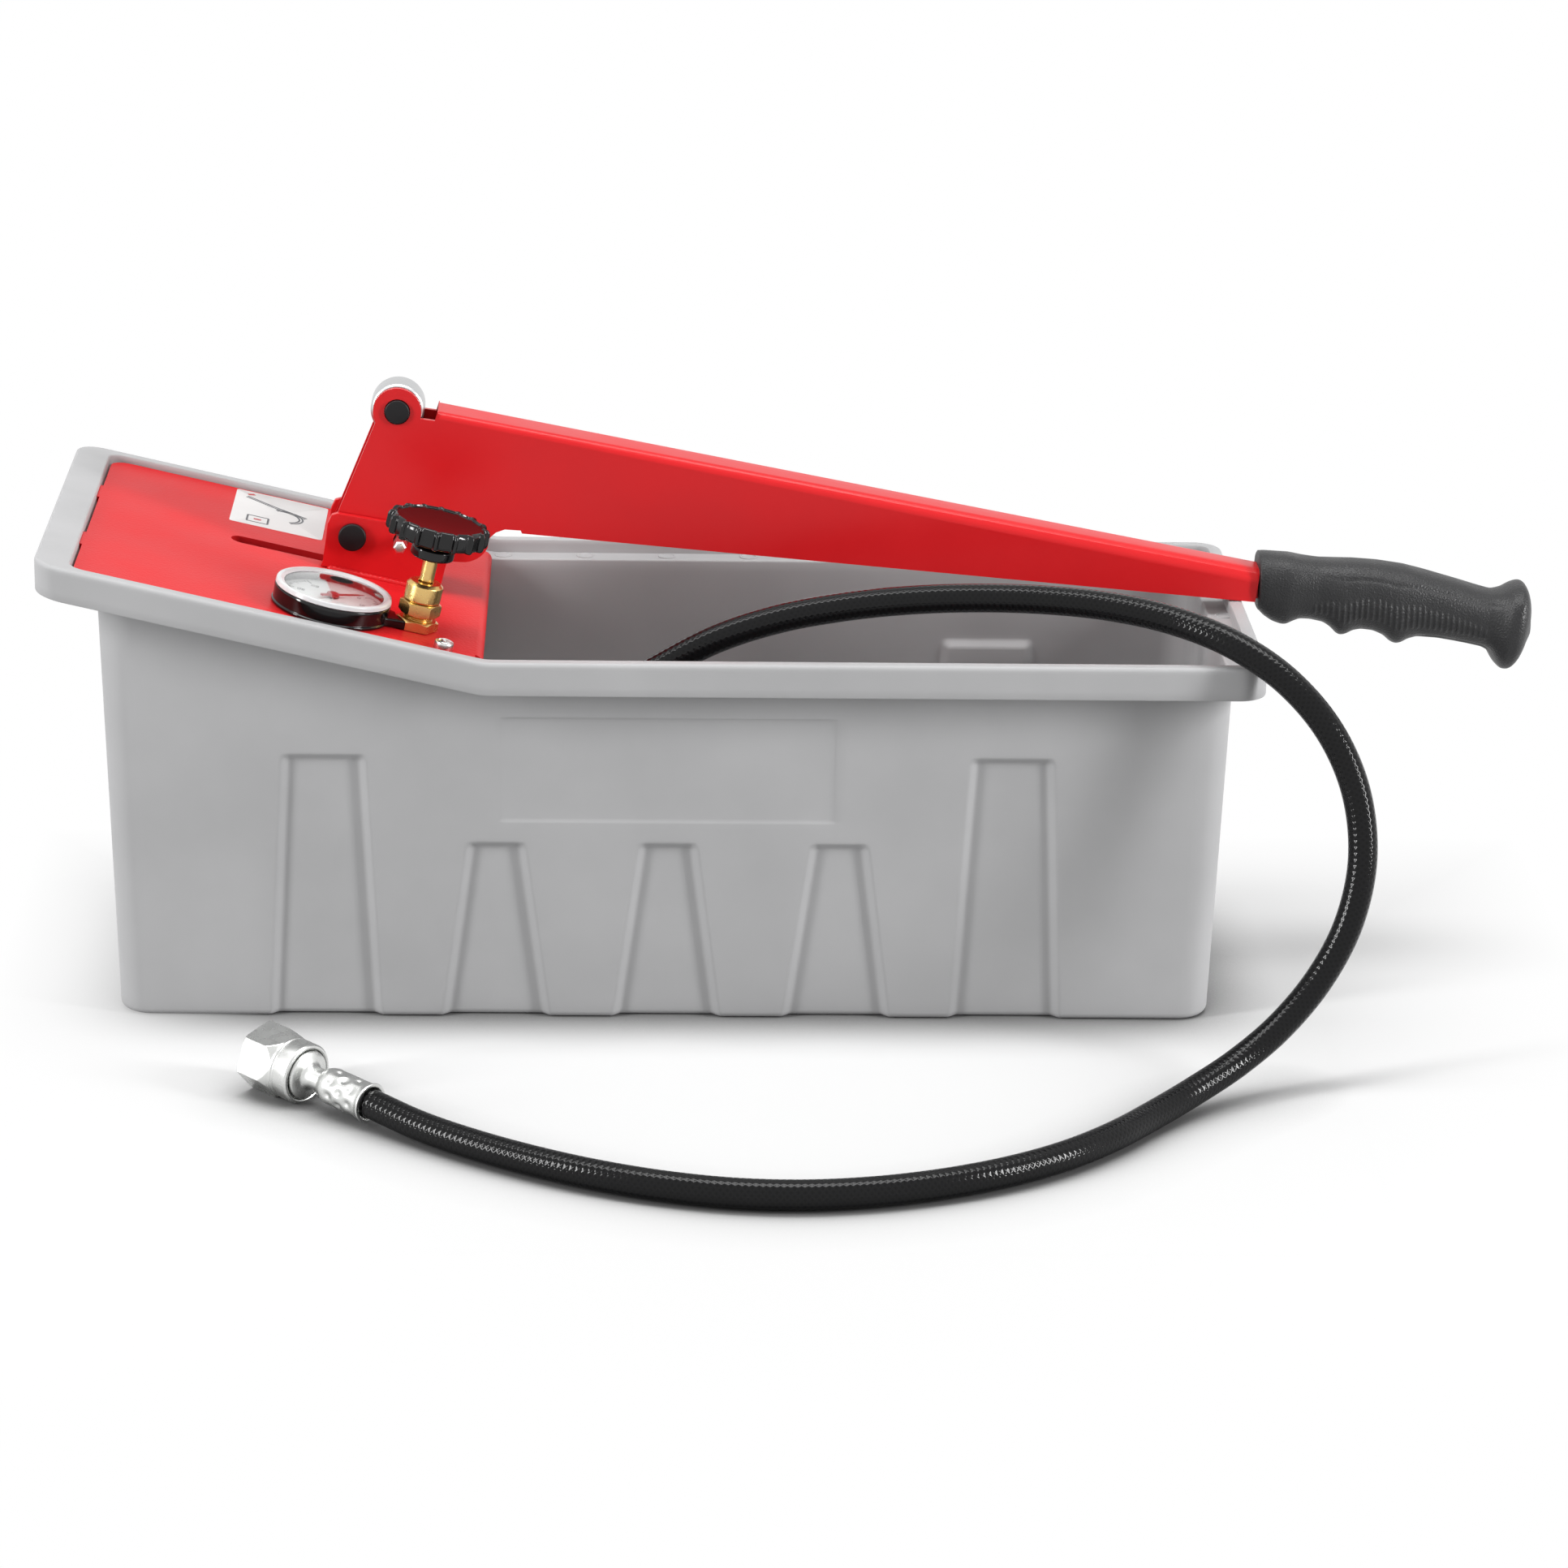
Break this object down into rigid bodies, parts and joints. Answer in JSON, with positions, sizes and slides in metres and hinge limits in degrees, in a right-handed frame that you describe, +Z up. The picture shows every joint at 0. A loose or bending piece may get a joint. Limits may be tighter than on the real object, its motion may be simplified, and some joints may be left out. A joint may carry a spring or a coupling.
{
  "type": "hydrostatic test pump",
  "caption": "Hand test pump: a fluted water tank with a sloped cover plate, a long lever on a swinging cylinder, a dial gauge, a knobbed valve and a hose with a swivel nut.",
  "frame": {"origin": "on the floor under the middle of the pump's footprint, tank and lever together", "axes": "+X along the lever to the grip, +Y to the rear, away from the gauge and the hose, +Z up"},
  "size_m": [0.6242, 0.3805, 0.2514],
  "materials": {
    "tank_plastic": "matte",
    "red_paint": "satin",
    "black_plastic": "satin",
    "knob_black": "gloss",
    "turned_steel": "brushed",
    "zinc_steel": "satin",
    "brass": "satin",
    "hose_rubber": "gloss",
    "seal_rubber": "matte",
    "dial_white": "matte",
    "pointer_red": "satin",
    "lens_clear": "gloss"
  },
  "bodies": {
    "root": {"tank": "tank_plastic", "cover_plate": "red_paint", "front_cover_bolt": "zinc_steel", "rear_cover_bolt": "zinc_steel", "front_ear": "red_paint", "rear_ear": "red_paint", "front_pivot_pin": "black_plastic", "rear_pivot_pin": "black_plastic", "ear_screw": "zinc_steel", "front_hanger": "red_paint", "rear_hanger": "red_paint", "swivel_housing": "brass", "delivery_pipe": "brass", "manifold_block": "brass", "valve_body": "brass", "valve_gland": "brass", "gauge_case": "black_plastic", "gauge_dial": "dial_white", "gauge_lens": "lens_clear", "outlet_nipple": "turned_steel", "inner_ferrule": "turned_steel", "hose": "hose_rubber", "outer_ferrule": "zinc_steel", "hose_nipple": "zinc_steel"},
    "lever": {"lever": "red_paint", "grip": "black_plastic", "rod_pin": "black_plastic"},
    "piston_rod": {"piston_rod": "turned_steel", "piston": "brass", "piston_seal": "seal_rubber"},
    "cylinder": {"cylinder_tube": "brass", "gland_nut": "brass", "cylinder_base": "brass", "suction_pipe": "black_plastic", "suction_strainer": "black_plastic", "front_trunnion": "turned_steel", "rear_trunnion": "turned_steel"},
    "valve_spindle": {"valve_spindle": "brass"},
    "valve_knob": {"valve_knob": "knob_black"},
    "gauge_pointer": {"gauge_pointer": "pointer_red"},
    "swivel_nut": {"swivel_nut": "zinc_steel"}
  },
  "joints": [
    {"name": "lever_lift", "type": "hinge", "parent": "root", "child": "lever", "pos_m": [-0.18855, 0.012, 0.1859], "axis": [0, -1, 0], "range_deg": [0, 78]},
    {"name": "rod_turn", "type": "hinge", "parent": "lever", "child": "piston_rod", "pos_m": [-0.16955, 0.012, 0.2389], "axis": [0, -1, 0], "range_deg": [-48, 0]},
    {"name": "cylinder_swing", "type": "hinge", "parent": "root", "child": "cylinder", "pos_m": [-0.21855, 0.012, 0.1099], "axis": [0, -1, 0], "range_deg": [0, 31]},
    {"name": "valve_turn", "type": "hinge", "parent": "valve_spindle", "child": "valve_knob", "pos_m": [-0.15511, -0.058, 0.18555], "axis": [0.2203, 0, 0.9754], "range_deg": [0, 540]},
    {"name": "spindle_rise", "type": "slide", "parent": "root", "child": "valve_spindle", "axis": [0.2203, 0, 0.9754], "range_m": [0, 0.0023]},
    {"name": "gauge_needle", "type": "hinge", "parent": "root", "child": "gauge_pointer", "pos_m": [-0.19378, -0.06, 0.17686], "axis": [-0.2203, 0, -0.9754], "range_deg": [0, 270]},
    {"name": "nut_swivel", "type": "hinge", "parent": "root", "child": "swivel_nut", "pos_m": [-0.21892, -0.1553, 0.01363], "axis": [-0.7434, 0.6646, 0.0751], "continuous": true}
  ],
  "couplings": [
    {"joint": "rod_turn", "follows": "lever_lift", "ratio": -0.605},
    {"joint": "cylinder_swing", "follows": "lever_lift", "ratio": 0.395},
    {"joint": "spindle_rise", "follows": "valve_turn", "m_per_rad": 0.0002387}
  ]
}
